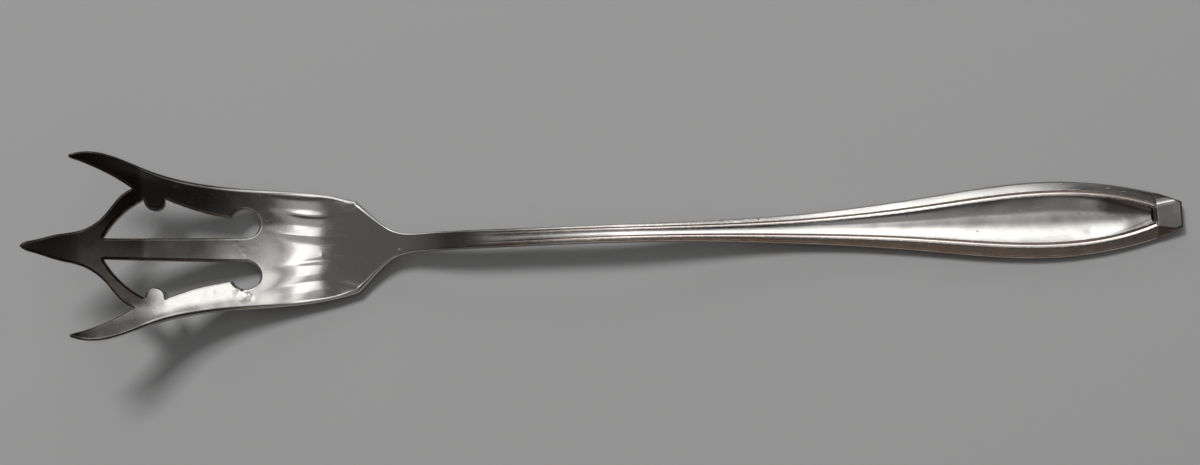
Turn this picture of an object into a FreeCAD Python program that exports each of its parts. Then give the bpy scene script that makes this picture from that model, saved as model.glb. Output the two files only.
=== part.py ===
import FreeCAD, Part
import math
import os
from FreeCAD import Vector

# Salad serving fork, stamped in one piece: three tines, a fluted bowl, an arched stem
# and a long handle with a hollow panel inside a threaded border.
# X runs from the point of the middle tine to the end of the handle, and Z is up.
# The fork lies face up, on the underside of its bowl and of its handle.
doc = FreeCAD.newDocument("SaladFork")
sheet = doc.addObject("Spreadsheet::Sheet", "Sizes")

# Places called "at" are measured from the point of the middle tine, and places called "back"
# from the end of the handle. A "run" is the length over which a form fades in or out. A "width"
# or "spread" is the full distance from side to side. All are in millimetres.
sizes = {
    "overall_length": 225.0,
    # plan of the head
    "arrow_flank_width": 3.1,
    "arrow_flank_at": 4.1,
    "arrow_width": 6.7,
    "arrow_at": 9.8,
    "point_radius": 0.35,
    "bridge_width": 12.8,
    "bridge_at": 14.2,
    "bridge_end_width": 20.5,
    "bridge_end_at": 17.4,
    "notch_width": 23.2,
    "notch_at": 19.5,
    "blade_width": 29.4,
    "blade_at": 14.5,
    "tine_tip_at": 8.9,
    "tine_tip_spread": 34.4,
    "tine_tip_radius": 0.4,
    "head_width": 36.4,
    "head_width_at": 12.8,
    "arm_width": 30.4,
    "arm_at": 22.4,
    "bowl_front_width": 24.9,
    "bowl_front_at": 34.5,
    "bowl_width": 22.8,
    "bowl_at": 48.5,
    "shoulder_width": 18.2,
    "shoulder_at": 61.8,
    "shoulder_radius": 1.2,
    "throat_front_width": 10.9,
    "throat_front_at": 65.5,
    "throat_width": 6.0,
    "throat_at": 68.6,
    "neck_width": 3.6,
    "neck_at": 76.0,
    # the two openings beside the middle tine
    "slot_front_at": 14.0,
    "tine_front_width": 4.1,
    "slot_bridge_spread": 14.1,
    "slot_bridge_at": 17.9,
    "bump_front_spread": 19.2,
    "bump_front_at": 21.5,
    "bump_spread": 14.9,
    "bump_at": 23.4,
    "bump_rear_spread": 19.4,
    "bump_rear_at": 25.35,
    "slot_side_spread": 15.2,
    "slot_side_at": 31.0,
    "cusp_spread": 12.3,
    "cusp_at": 37.4,
    "lobe_rear_spread": 10.4,
    "lobe_rear_at": 42.7,
    "tine_root_width": 4.8,
    "tine_root_at": 39.6,
    # plan of the stem and the handle
    "stem_width": 3.5,
    "swell_width": 5.8,
    "swell_back": 77.0,
    "flank_width": 10.5,
    "flank_back": 52.0,
    "handle_width": 15.25,
    "handle_width_back": 25.5,
    "taper_width": 12.5,
    "taper_back": 12.2,
    "end_shoulder_width": 8.7,
    "end_shoulder_back": 4.2,
    "end_shoulder_radius": 1.5,
    "end_width": 5.1,
    "end_radius": 0.4,
    # side view: height of the underside
    "tip_height": 21.2,
    "arrow_height": 14.5,
    "arm_height": 8.6,
    "bowl_front_height": 4.4,
    "bowl_mid_height": 0.95,
    "bowl_rear_at": 57.0,
    "throat_height": 1.8,
    "neck_height": 3.3,
    "stem_front_height": 4.15,
    "arch_height": 4.4,
    "stem_rear_height": 2.7,
    "swell_height": 0.56,
    "flank_height": 0.05,
    "handle_height": 0.02,
    "taper_height": 0.05,
    "end_height": 0.35,
    # thickness of the metal
    "tip_thick": 1.2,
    "tine_thick": 1.9,
    "bowl_thick": 1.5,
    "neck_thick": 2.9,
    "stem_thick": 3.35,
    "handle_thick": 2.5,
    "end_thick": 2.1,
    # cross section of the head
    "tine_dish_radius": 37.0,
    "bowl_dish_radius": 36.0,
    "flute_depth": 0.28,
    "flute_start_at": 42.0,
    "flute_end_at": 65.0,
    "arm_line": 21.8,
    "slot_line": 8.4,
    "outer_ridge_front": 17.6,
    "outer_ridge_mid": 13.3,
    "outer_ridge_rear": 16.4,
    "inner_ridge_front": 8.0,
    "inner_ridge_mid": 4.8,
    "inner_ridge_rear": 6.0,
    "flute_front_run": 10.0,
    "flute_rear_run": 8.0,
    "ridge_rear_run": 10.0,
    # cross section of the stem and the handle
    "stem_border": 0.9,
    "handle_border": 2.45,
    "border_drop": 0.95,
    "border_run": 20.0,
    "stem_belly": 0.9,
    "handle_belly": 0.6,
    "stem_thread_width": 0.5,
    "handle_thread_width": 0.95,
    "thread_depth": 0.22,
    "thread_start_at": 84.0,
    "thread_run": 12.0,
    "channel_depth": 0.15,
    "hollow_depth": 0.85,
    "hollow_run": 10.0,
    "hollow_end_depth": 0.8,
    "panel_end_width": 3.4,
    "panel_end_back": 5.1,
}
for row, (name, value) in enumerate(sizes.items(), start=1):
    sheet.set("A%d" % row, name)
    sheet.set("B%d" % row, str(value))
    sheet.setAlias("B%d" % row, name)
doc.recompute()


def size(name):
    """One driving size from the sheet, in millimetres."""
    return float(sheet.get(name))


length = size("overall_length")


def back(name):
    """A place measured from the end of the handle, given from the middle point."""
    return length - size(name)


def place(at, across, height=0.0):
    """A point of the fork, with the middle of its length at X 0."""
    return Vector(at - length / 2, across, height)


def spline(points, places=None, tangents=None):
    """A smooth curve through points, and where given, with its tangent at both ends."""
    curve = Part.BSplineCurve()
    options = {"Points": points}
    if places:
        options["Parameters"] = places
    if tangents:
        options["InitialTangent"], options["FinalTangent"] = tangents
    curve.interpolate(**options)
    return curve


def value_along(stations, level_ends=False):
    """A smooth value along the fork, through (place, value) pairs."""
    places = [at for at, value in stations]
    points = [Vector(at, value, 0) for at, value in stations]
    curve = spline(points, places, (Vector(1, 0, 0), Vector(1, 0, 0)) if level_ends else None)
    return lambda at: curve.value(min(max(at, places[0]), places[-1])).y


def ramp(at, start, end):
    """Rises smoothly from 0 at the start to 1 at the end."""
    share = min(max((at - start) / (end - start), 0.0), 1.0)
    return share * share * (3 - 2 * share)


# Places along the fork that several features share.
shoulder_at = size("shoulder_at")
neck_at = size("neck_at")
swell_at = back("swell_back")
flank_at = back("flank_back")
widest_at = back("handle_width_back")
taper_at = back("taper_back")
end_shoulder_at = back("end_shoulder_back")
panel_end_at = back("panel_end_back")
stem_mid_at = (neck_at + swell_at) / 2
# The sections reach past both ends and sides of the outline, which then cuts them off.
overhang = 2.0
side_overhang = 1.0
before_point = -overhang
past_end = length + overhang

# Half widths of the head and of the handle. The outline and the cross sections share them.
head_half_width = value_along([
    (before_point, size("head_width") / 2),
    (size("head_width_at"), size("head_width") / 2),
    (size("arm_at"), size("arm_width") / 2),
    (size("bowl_front_at"), size("bowl_front_width") / 2),
    (size("bowl_at"), size("bowl_width") / 2),
    (shoulder_at, size("shoulder_width") / 2),
    (size("throat_at"), size("throat_width") / 2),
    (neck_at, size("neck_width") / 2),
], level_ends=True)
handle_stations = [
    (neck_at, size("neck_width") / 2),
    (stem_mid_at, size("stem_width") / 2),
    (swell_at, size("swell_width") / 2),
    (flank_at, size("flank_width") / 2),
    (widest_at, size("handle_width") / 2),
    (taper_at, size("taper_width") / 2),
    (end_shoulder_at, size("end_shoulder_width") / 2),
]
handle_half_width = value_along(handle_stations)


def half_width(at):
    """Half the width of the blank at one place."""
    return head_half_width(at) if at < neck_at else handle_half_width(at)


# The side view: the underside dips to the table at the bowl, where the backs of the flutes
# touch it, and again along the handle.
tip_slope = (size("tip_height") - size("arrow_height")) / size("arrow_at")
underside = value_along([
    (before_point, size("tip_height") + tip_slope * overhang),
    (0.0, size("tip_height")),
    (size("arrow_at"), size("arrow_height")),
    (size("arm_at"), size("arm_height")),
    (size("bowl_front_at"), size("bowl_front_height")),
    (size("bowl_at"), size("bowl_mid_height")),
    (size("bowl_rear_at"), size("flute_depth")),
    (size("throat_at"), size("throat_height")),
    (neck_at, size("neck_height")),
    ((neck_at + stem_mid_at) / 2, size("stem_front_height")),
    (stem_mid_at, size("arch_height")),
    ((stem_mid_at + swell_at) / 2, size("stem_rear_height")),
    (swell_at, size("swell_height")),
    (flank_at, size("flank_height")),
    (widest_at, size("handle_height")),
    (taper_at, size("taper_height")),
    (past_end, size("end_height")),
])
thickness = value_along([
    (before_point, size("tip_thick")),
    (size("arrow_at"), (size("tip_thick") + size("tine_thick")) / 2),
    (size("arm_at"), size("tine_thick")),
    (size("bowl_rear_at"), size("bowl_thick")),
    (neck_at, size("neck_thick")),
    (stem_mid_at, size("stem_thick")),
    (widest_at, size("handle_thick")),
    (past_end, size("end_thick")),
])


def upright_thickness(at):
    """The metal's thickness measured straight up, which is more where the fork slopes."""
    step = 0.5
    slope = (underside(at + step) - underside(at - step)) / (2 * step)
    return thickness(at) * math.hypot(1.0, slope)


# The four ridges between the five flutes spread from the middle of the bowl both ways.
# Past the neck the same lines become the two lips of each thread.
ridge_places = [before_point, size("bump_at"), size("flute_start_at"), size("bowl_rear_at"), shoulder_at]


def ridge_line(front, start, mid, rear):
    """Half the spread of a pair of ridges, along the bowl."""
    spreads = [size(front), size(front), size(start), size(mid), size(rear)]
    return value_along([(at, spread / 2) for at, spread in zip(ridge_places, spreads)])


outer_ridge = ridge_line("arm_line", "outer_ridge_front", "outer_ridge_mid", "outer_ridge_rear")
inner_ridge = ridge_line("slot_line", "inner_ridge_front", "inner_ridge_mid", "inner_ridge_rear")


def stem_to_handle(name, at):
    """A size of the cross section that grows from its stem value to its handle value."""
    share = ramp(at, stem_mid_at, widest_at)
    return size("stem_" + name) * (1 - share) + size("handle_" + name) * share


def border_line(at):
    """Distance of the middle of a thread from the middle of the stem or handle."""
    return half_width(at) - stem_to_handle("border", at)


thread_places = [neck_at, stem_mid_at, swell_at, flank_at, widest_at, taper_at]
thread_stations = [(at, border_line(at)) for at in thread_places]
thread_line = value_along(thread_stations + [(panel_end_at, size("panel_end_width") / 2)])


def lips(at):
    """Distance of the inner and the outer line from the middle, at one place."""
    to_stem = ramp(at, shoulder_at, shoulder_at + size("ridge_rear_run"))
    to_end = max(at - panel_end_at, 0.0) / size("panel_end_back")
    spread = to_end * (size("end_width") - size("panel_end_width")) / 2
    middle = thread_line(max(at, neck_at)) + spread
    half_thread = stem_to_handle("thread_width", at) / 2
    inner = (1 - to_stem) * inner_ridge(at) + to_stem * (middle - half_thread)
    outer = (1 - to_stem) * outer_ridge(at) + to_stem * (middle + half_thread)
    return inner, outer


def flute_sag(at):
    """How deep the flutes are at one place along the bowl."""
    start = size("flute_start_at")
    end = size("flute_end_at")
    rise = ramp(at, start, start + size("flute_front_run"))
    fade = 1 - ramp(at, end - size("flute_rear_run"), end)
    return size("flute_depth") * rise * fade


def thread_rise(at):
    """Share of the full depth of the threads and of the channel, which run out near the neck."""
    start = size("thread_start_at")
    return ramp(at, start, start + size("thread_run"))


def thread_sag(at):
    """Depth of the two threads, which are shallower where they are narrower."""
    share = stem_to_handle("thread_width", at) / size("handle_thread_width")
    return size("thread_depth") * share * thread_rise(at)


def panel_sag(at):
    """Depth of the middle: a fine channel along the stem, which opens into the handle's panel."""
    to_panel = ramp(at, swell_at - size("hollow_run"), widest_at)
    to_end = ramp(at, taper_at, panel_end_at)
    hollow = size("hollow_depth") * (1 - to_end) + size("hollow_end_depth") * to_end
    return size("channel_depth") * thread_rise(at) * (1 - to_panel) + hollow * to_panel


def dish(at):
    """Curvature of the head across its width, gone at the shoulders."""
    to_bowl = ramp(at, size("arm_at"), size("bowl_at"))
    tines = 1 / size("tine_dish_radius")
    bowl = 1 / size("bowl_dish_radius")
    fade = 1 - ramp(at, size("bowl_rear_at"), size("throat_front_at"))
    return (tines + (bowl - tines) * to_bowl) * fade


def underside_curvature(at):
    """Curvature of the underside: the dish of the head, then the round back of the stem."""
    to_stem = ramp(at, shoulder_at, neck_at)
    belly = stem_to_handle("belly", at)
    return (1 - to_stem) * dish(at) + to_stem * 2 * belly / half_width(at) ** 2


def border_slope(at):
    """Fall of the bevelled border for each millimetre across."""
    return ramp(at, neck_at, neck_at + size("border_run")) * size("border_drop") / size("handle_border")


def strip_poles(at, left, right, height, curvature, slope, sag):
    """The three poles of one strip of a cross section, which is a parabola."""
    outer = lips(at)[1]

    def level(across):
        return height + curvature * across ** 2 / 2 - slope * max(abs(across) - outer, 0.0)

    middle = (left + right) / 2
    middle_level = (level(left) + level(right)) / 2 - curvature * (right - left) ** 2 / 4 - 2 * sag
    return [place(at, left, level(left)), place(at, middle, middle_level), place(at, right, level(right))]


def section_strips(at, threaded):
    """The five strips above and the five below, at one place along the fork."""
    inner, outer = lips(at)
    reach = half_width(at) + side_overhang
    low = underside(at)
    high = low + upright_thickness(at)
    lines = [-reach, -outer, -inner, inner, outer, reach]
    flutes = flute_sag(at)
    sags = [flutes] * 5
    if at > neck_at:
        sags = [0.0, thread_sag(at), panel_sag(at), thread_sag(at), 0.0]
    if not threaded:
        sags = [0.0] * 5
    strips = []
    for left, right, sag in zip(lines, lines[1:], sags):
        strips.append(strip_poles(at, left, right, high, dish(at), border_slope(at), sag))
    for left, right in zip(lines, lines[1:]):
        strips.append(strip_poles(at, left, right, low, underside_curvature(at), 0.0, flutes))
    for above, below, end in ((0, 5, 0), (4, 9, 2)):
        top_corner = strips[above][end]
        low_corner = strips[below][end]
        strips.append([top_corner, (top_corner + low_corner) / 2, low_corner])
    return strips


def skin(columns, places):
    """A smooth face through one strip of every cross section."""
    rows = [spline([poles[index] for poles in columns], places) for index in range(3)]
    knots = rows[0].getKnots()
    mults = rows[0].getMultiplicities()
    surface = Part.BSplineSurface()
    poles = [row.getPoles() for row in rows]
    surface.buildFromPolesMultsKnots(poles, [3, 3], mults, [0, 1], knots, False, False, 2, 3)
    return surface.toShape()


def skinned_solid(places, threaded=True):
    """A closed solid whose skin runs smoothly through the cross sections at the places."""
    sections = [section_strips(at, threaded) for at in places]
    faces = [skin([strips[index] for strips in sections], places) for index in range(12)]
    for strips in (sections[0], sections[-1]):
        edges = [Part.BezierCurve() for poles in strips]
        for edge, poles in zip(edges, strips):
            edge.setPoles(poles)
        outline = Part.Wire(Part.__sortEdges__([edge.toShape() for edge in edges]))
        faces.append(Part.Face(outline))
    shell = Part.Shell(faces)
    shell.sewShape()
    return Part.Solid(shell)


def even_places(start, end, count):
    """Even places from start to end, the end left out."""
    return [start + (end - start) * index / count for index in range(count)]


head_places = even_places(before_point, size("flute_start_at"), 8)
bowl_places = even_places(size("flute_start_at"), neck_at, 11)
stem_places = even_places(neck_at, swell_at, 9)
handle_places = even_places(swell_at, panel_end_at, 12) + [panel_end_at]
long_sheet = doc.addObject("Part::Feature", "LongSheet")
long_sheet.Shape = skinned_solid(head_places + bowl_places + stem_places + handle_places)
end_block = doc.addObject("Part::Feature", "EndBlock")
end_block.Shape = skinned_solid(even_places(panel_end_at, past_end, 3) + [past_end], threaded=False)


def named(width_name, at_name, mirror=1.0):
    """The outline's point for a width of the sheet and its place."""
    return place(size(at_name), mirror * size(width_name) / 2)


def both_sides(make_curve):
    """The curves of the upper side and of the lower side, which mirror each other."""
    return [make_curve(1.0), make_curve(-1.0)]


def add_sketch(name, curves):
    """A flat closed outline, drawn on the table plane."""
    sketch = doc.addObject("Sketcher::SketchObject", name)
    for curve in curves:
        sketch.addGeometry(curve, False)
    return sketch


def add_prism(name, sketch, low, high):
    """The outline carried straight up, from one height to another."""
    prism = doc.addObject("Part::Extrusion", name)
    prism.Base = sketch
    prism.DirMode = "Custom"
    prism.Dir = Vector(0, 0, 1)
    prism.LengthFwd = high
    prism.LengthRev = -low
    prism.Solid = True
    return prism


# The outline of the whole fork, seen from above.
nose = size("point_radius")
upper_arrow = [
    named("notch_width", "notch_at"),
    named("bridge_end_width", "bridge_end_at"),
    named("bridge_width", "bridge_at"),
    named("arrow_width", "arrow_at"),
    named("arrow_flank_width", "arrow_flank_at"),
    place(nose / 2, nose),
]
lower_arrow = [Vector(point.x, -point.y, 0) for point in reversed(upper_arrow)]
arrow_edge = spline(upper_arrow + [place(0.0, 0.0)] + lower_arrow)


def tine_tip(mirror):
    """The end of an outer tine: where its inner edge stops, its point, and where its back starts."""
    radius = size("tine_tip_radius")
    centre = place(size("tine_tip_at") + radius, mirror * size("tine_tip_spread") / 2)
    angles = [math.radians(degrees) for degrees in (246, 180, 124)]
    return [centre + Vector(math.cos(angle), mirror * math.sin(angle), 0) * radius for angle in angles]


def tine_inner_edge(mirror):
    """From the notch beside the arrow to the tip of an outer tine."""
    return spline([
        named("notch_width", "notch_at", mirror),
        named("blade_width", "blade_at", mirror),
        tine_tip(mirror)[0],
    ])


def tine_tip_arc(mirror):
    """The small round of a tine's tip."""
    inner, point, outer = tine_tip(mirror)
    return Part.Arc(inner, point, outer)


def head_side(mirror):
    """From the tip of an outer tine, along the arm and the bowl, to the shoulder."""
    return spline([
        tine_tip(mirror)[2],
        named("head_width", "head_width_at", mirror),
        named("arm_width", "arm_at", mirror),
        named("bowl_front_width", "bowl_front_at", mirror),
        named("bowl_width", "bowl_at", mirror),
        named("shoulder_width", "shoulder_at", mirror),
    ])


def throat_side(mirror):
    """From the shoulder, in a hollow curve, to the neck."""
    points = [
        named("shoulder_width", "shoulder_at", mirror),
        named("throat_front_width", "throat_front_at", mirror),
        named("throat_width", "throat_at", mirror),
        named("neck_width", "neck_at", mirror),
    ]
    first = (points[1] - points[0]).normalize()
    return spline(points, tangents=(first, Vector(1, 0, 0)))


def handle_side(mirror):
    """From the neck, along the stem and the handle, to the shoulder of its end."""
    return spline([place(at, mirror * half) for at, half in handle_stations])


def end_side(mirror):
    """The slanting side of the block that ends the handle."""
    corner = place(end_shoulder_at, mirror * size("end_shoulder_width") / 2)
    return Part.LineSegment(corner, place(length, mirror * size("end_width") / 2))


outline_curves = [arrow_edge]
for make_curve in (tine_inner_edge, tine_tip_arc, head_side, throat_side, handle_side, end_side):
    outline_curves += both_sides(make_curve)
end_corner = place(length, size("end_width") / 2)
outline_curves.append(Part.LineSegment(end_corner, place(length, -size("end_width") / 2)))
outline = add_sketch("Outline", outline_curves)
below_table = -overhang
above_tips = size("tip_height") * 2
blank = add_prism("Blank", outline, below_table, above_tips)
doc.recompute()


def add_rounded_corners(name, prism, corners):
    """The prism with its upright edges rounded at the given corners, each with its radius."""
    tolerance = 0.01
    rounded = doc.addObject("Part::Fillet", name)
    rounded.Base = prism
    chosen = []
    for number, edge in enumerate(prism.Shape.Edges, start=1):
        middle = edge.CenterOfMass
        upright = edge.Length > size("tip_height")
        for corner, radius in corners:
            if upright and math.hypot(middle.x - corner.x, abs(middle.y) - corner.y) < tolerance:
                chosen.append((number, radius, radius))
    rounded.Edges = chosen
    return rounded


rounded_blank = add_rounded_corners("RoundedBlank", blank, [
    (named("shoulder_width", "shoulder_at"), size("shoulder_radius")),
    (place(end_shoulder_at, size("end_shoulder_width") / 2), size("end_shoulder_radius")),
    (end_corner, size("end_radius")),
])


def slot_curves(mirror):
    """The opening between the middle tine and one arm, with its bump and its round rear lobe."""
    front = named("tine_front_width", "slot_front_at", mirror)
    bump_front = named("bump_front_spread", "bump_front_at", mirror)
    bump = named("bump_spread", "bump_at", mirror)
    bump_rear = named("bump_rear_spread", "bump_rear_at", mirror)
    cusp = named("cusp_spread", "cusp_at", mirror)
    lobe_rear = named("lobe_rear_spread", "lobe_rear_at", mirror)
    root = named("tine_root_width", "tine_root_at", mirror)
    return [
        spline([front, named("slot_bridge_spread", "slot_bridge_at", mirror), bump_front]),
        Part.Arc(bump_front, bump, bump_rear),
        spline([bump_rear, named("slot_side_spread", "slot_side_at", mirror), cusp]),
        Part.Arc(cusp, lobe_rear, root),
        Part.LineSegment(root, front),
    ]


slots = []
for name, mirror in (("UpperSlot", 1.0), ("LowerSlot", -1.0)):
    slot_outline = add_sketch(name + "Outline", slot_curves(mirror))
    slots.append(add_prism(name, slot_outline, below_table, above_tips))

metal = doc.addObject("Part::Fuse", "Metal")
metal.Base = long_sheet
metal.Tool = end_block
trimmed = doc.addObject("Part::Common", "Trimmed")
trimmed.Base = metal
trimmed.Tool = rounded_blank
openings = doc.addObject("Part::MultiFuse", "Openings")
openings.Shapes = slots
pierced = doc.addObject("Part::Cut", "Pierced")
pierced.Base = trimmed
pierced.Tool = openings
doc.recompute()

fork = doc.addObject("Part::Refine", "Fork")
fork.Source = pierced
fork.Label = "salad_fork"
doc.recompute()

for item in doc.Objects:
    if "Invalid" in item.State or "Error" in item.State:
        raise RuntimeError("failed to build: " + item.Name)
solids = fork.Shape.Solids
if fork.Shape.isNull() or not fork.Shape.isValid() or len(solids) != 1:
    raise RuntimeError("the fork is not one valid solid")

os.makedirs("parts", exist_ok=True)
solids[0].exportStep("parts/%s.step" % fork.Label)
print("volume in cubic millimetres", round(solids[0].Volume, 1))
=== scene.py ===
import math
import bpy
import numpy as np
from mathutils import Matrix, Vector
from mathutils.geometry import delaunay_2d_cdt


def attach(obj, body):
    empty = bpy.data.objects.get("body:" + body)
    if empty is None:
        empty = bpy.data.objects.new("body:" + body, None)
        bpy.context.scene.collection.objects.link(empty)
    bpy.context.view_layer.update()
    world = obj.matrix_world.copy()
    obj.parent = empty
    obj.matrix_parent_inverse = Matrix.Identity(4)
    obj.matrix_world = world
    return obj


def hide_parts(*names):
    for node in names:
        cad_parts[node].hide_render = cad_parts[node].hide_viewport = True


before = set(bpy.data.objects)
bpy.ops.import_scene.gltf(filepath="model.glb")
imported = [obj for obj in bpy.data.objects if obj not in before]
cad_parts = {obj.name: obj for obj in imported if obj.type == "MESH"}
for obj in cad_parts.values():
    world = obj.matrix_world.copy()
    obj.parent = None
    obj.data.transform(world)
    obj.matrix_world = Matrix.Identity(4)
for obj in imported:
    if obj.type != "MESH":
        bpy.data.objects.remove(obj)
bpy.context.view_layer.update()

# The side view of the fork. It is one blank of nickel silver, rolled thin at the tines and left
# thick in the stem, then bent so that it lies on its bowl and on its handle, with the tines up.
# "at" is a place measured from the point of the middle tine, in millimetres.
LENGTH = 225.0
ARROW_AT = 9.8
ARM_AT = 22.4
BOWL_FRONT_AT = 34.5
BOWL_AT = 48.5
BOWL_REAR_AT = 57.0
THROAT_AT = 68.6
NECK_AT = 76.0
SWELL_AT = LENGTH - 77.0
FLANK_AT = LENGTH - 52.0
WIDEST_AT = LENGTH - 25.5
TAPER_AT = LENGTH - 12.2
STEM_MID_AT = (NECK_AT + SWELL_AT) / 2
BEFORE_POINT = -2.0
PAST_END = LENGTH + 2.0


def end_slope(places, values, end):
    """Slope at the first (0) or last (-1) place, of the cubic through the four nearest values."""
    near = slice(0, 4) if end == 0 else slice(-4, None)
    degree = min(3, len(places) - 1)
    return np.polyfit(places[near] - places[end], values[near], degree)[-2]


def smooth_line(places, values, slopes=None):
    """A smooth value along the fork, through the given values at the given places."""
    places = np.asarray(places, float)
    values = np.asarray(values, float)
    count = len(places)
    gaps = np.diff(places)
    if slopes is None:
        slopes = end_slope(places, values, 0), end_slope(places, values, -1)
    system = np.eye(count)
    target = np.zeros(count)
    target[0], target[-1] = slopes
    for i in range(1, count - 1):
        before, after = gaps[i - 1], gaps[i]
        system[i, i - 1:i + 2] = after, 2 * (before + after), before
        rise_before = (values[i] - values[i - 1]) / before
        rise_after = (values[i + 1] - values[i]) / after
        target[i] = 3 * (after * rise_before + before * rise_after)
    slope = np.linalg.solve(system, target)

    def value(at):
        at = np.clip(at, places[0], places[-1])
        i = np.clip(np.searchsorted(places, at, side="right") - 1, 0, count - 2)
        gap = gaps[i]
        share = (at - places[i]) / gap
        rest = 1 - share
        ends = values[i] * rest ** 2 * (1 + 2 * share) + values[i + 1] * share ** 2 * (1 + 2 * rest)
        return ends + gap * share * rest * (slope[i] * rest - slope[i + 1] * share)

    return value


def ramp(at, start, end):
    """Rises smoothly from 0 at the start to 1 at the end."""
    share = np.clip((at - start) / (end - start), 0.0, 1.0)
    return share * share * (3 - 2 * share)


TIP_HEIGHT = 21.2
ARROW_HEIGHT = 14.5
TIP_SLOPE = (TIP_HEIGHT - ARROW_HEIGHT) / ARROW_AT
ARCH_HEIGHT = 4.4
bent_heights = [
    (BEFORE_POINT, TIP_HEIGHT - BEFORE_POINT * TIP_SLOPE), (0.0, TIP_HEIGHT), (ARROW_AT, ARROW_HEIGHT),
    (ARM_AT, 8.6), (BOWL_FRONT_AT, 4.4), (BOWL_AT, 0.95), (BOWL_REAR_AT, 0.28), (THROAT_AT, 1.8),
    (NECK_AT, 3.3), ((NECK_AT + STEM_MID_AT) / 2, 4.15), (STEM_MID_AT, ARCH_HEIGHT),
    ((STEM_MID_AT + SWELL_AT) / 2, 2.7), (SWELL_AT, 0.56), (FLANK_AT, 0.05), (WIDEST_AT, 0.02),
    (TAPER_AT, 0.05), (PAST_END, 0.35),
]
underside_height = smooth_line(*zip(*bent_heights))
TIP_THICK, TINE_THICK = 1.2, 1.9
BOWL_THICK, NECK_THICK, STEM_THICK, HANDLE_THICK, END_THICK = 1.5, 2.9, 3.35, 2.5, 2.1
metal_thickness = smooth_line(
    [BEFORE_POINT, ARROW_AT, ARM_AT, BOWL_REAR_AT, NECK_AT, STEM_MID_AT, WIDEST_AT, PAST_END],
    [TIP_THICK, (TIP_THICK + TINE_THICK) / 2, TINE_THICK, BOWL_THICK, NECK_THICK, STEM_THICK,
     HANDLE_THICK, END_THICK])


def upright_thickness(at):
    """The metal's thickness measured straight up, which is more where the fork slopes."""
    step = 0.5
    slope = (underside_height(at + step) - underside_height(at - step)) / (2 * step)
    return metal_thickness(at) * np.hypot(1.0, slope)


# The outline of the blank, seen from above: an arrow-shaped middle point, two outer tines joined
# to it by curved bridges, arms along a bowl with square shoulders, a thin stem, and a long
# handle that ends in a small square block. A press cuts it out, and its edges are ground round.
HEAD_WIDTH, HEAD_WIDTH_AT = 36.4, 12.8
ARM_WIDTH = 30.4
BOWL_FRONT_WIDTH = 24.9
BOWL_WIDTH = 22.8
SHOULDER_WIDTH, SHOULDER_AT = 18.2, 61.8
THROAT_FRONT_WIDTH, THROAT_FRONT_AT = 10.9, 65.5
THROAT_WIDTH = 6.0
NECK_WIDTH = 3.6
ARROW_FRONT_WIDTH, ARROW_FRONT_AT = 2.5, 2.3
ARROW_FLANK_WIDTH, ARROW_FLANK_AT = 4.9, 6.0
ARROW_WIDTH = 6.7
POINT_RADIUS = 0.2
BRIDGE_WIDTH, BRIDGE_AT = 12.8, 14.2
BRIDGE_END_WIDTH, BRIDGE_END_AT = 20.5, 17.4
NOTCH_WIDTH, NOTCH_AT = 23.2, 19.5
BLADE_WIDTH, BLADE_AT = 29.4, 14.5
TINE_TIP_SPREAD, TINE_TIP_AT, TINE_TIP_RADIUS = 34.4, 8.9, 0.4
TINE_TIP_TURNS = 246, 180, 124
STEM_WIDTH, SWELL_WIDTH, FLANK_WIDTH, WIDEST_WIDTH, TAPER_WIDTH = 3.5, 5.8, 10.5, 15.25, 12.5
END_SHOULDER_WIDTH, END_SHOULDER_AT = 8.7, LENGTH - 4.2
END_WIDTH = 5.1
SHOULDER_ROUND, END_SHOULDER_ROUND, END_ROUND = 1.2, 1.5, 0.4
handle_places = [NECK_AT, STEM_MID_AT, SWELL_AT, FLANK_AT, WIDEST_AT, TAPER_AT, END_SHOULDER_AT]
handle_widths = [
    NECK_WIDTH, STEM_WIDTH, SWELL_WIDTH, FLANK_WIDTH, WIDEST_WIDTH, TAPER_WIDTH, END_SHOULDER_WIDTH]
handle_half_width = smooth_line(handle_places, [width / 2 for width in handle_widths])
head_half_width = smooth_line(
    [BEFORE_POINT, HEAD_WIDTH_AT, ARM_AT, BOWL_FRONT_AT, BOWL_AT, SHOULDER_AT, THROAT_AT, NECK_AT],
    [width / 2 for width in (HEAD_WIDTH, HEAD_WIDTH, ARM_WIDTH, BOWL_FRONT_WIDTH, BOWL_WIDTH,
                             SHOULDER_WIDTH, THROAT_WIDTH, NECK_WIDTH)],
    slopes=(0.0, 0.0))


def half_width(at):
    """Half the width of the blank at one place."""
    return np.where(at < NECK_AT, head_half_width(at), handle_half_width(at))


def along_chords(points):
    """Distance of each point from the first, measured from point to point."""
    steps = np.hypot(*np.diff(points, axis=0).T)
    return np.concatenate([[0.0], np.cumsum(steps)])


def evenly(points, spacing):
    """The same line, with its points about the given spacing apart."""
    travel = along_chords(points)
    stops = np.linspace(0.0, travel[-1], max(2, math.ceil(travel[-1] / spacing) + 1))
    return np.column_stack([np.interp(stops, travel, points[:, axis]) for axis in (0, 1)])


def curve_through(points, spacing, directions=None):
    """A smooth curve through the points, where given with its direction at both ends."""
    points = np.asarray(points, float)
    chords = along_chords(points)
    lines = []
    speeds = [np.hypot(*(end_slope(chords, points[:, axis], end) for axis in (0, 1))) for end in (0, -1)]
    for axis in (0, 1):
        slopes = None
        if directions is not None:
            slopes = [direction[axis] * speed for direction, speed in zip(directions, speeds)]
        lines.append(smooth_line(chords, points[:, axis], slopes))
    fine = np.linspace(0.0, chords[-1], 60 * len(points))
    return evenly(np.column_stack([line(fine) for line in lines]), spacing)


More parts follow.
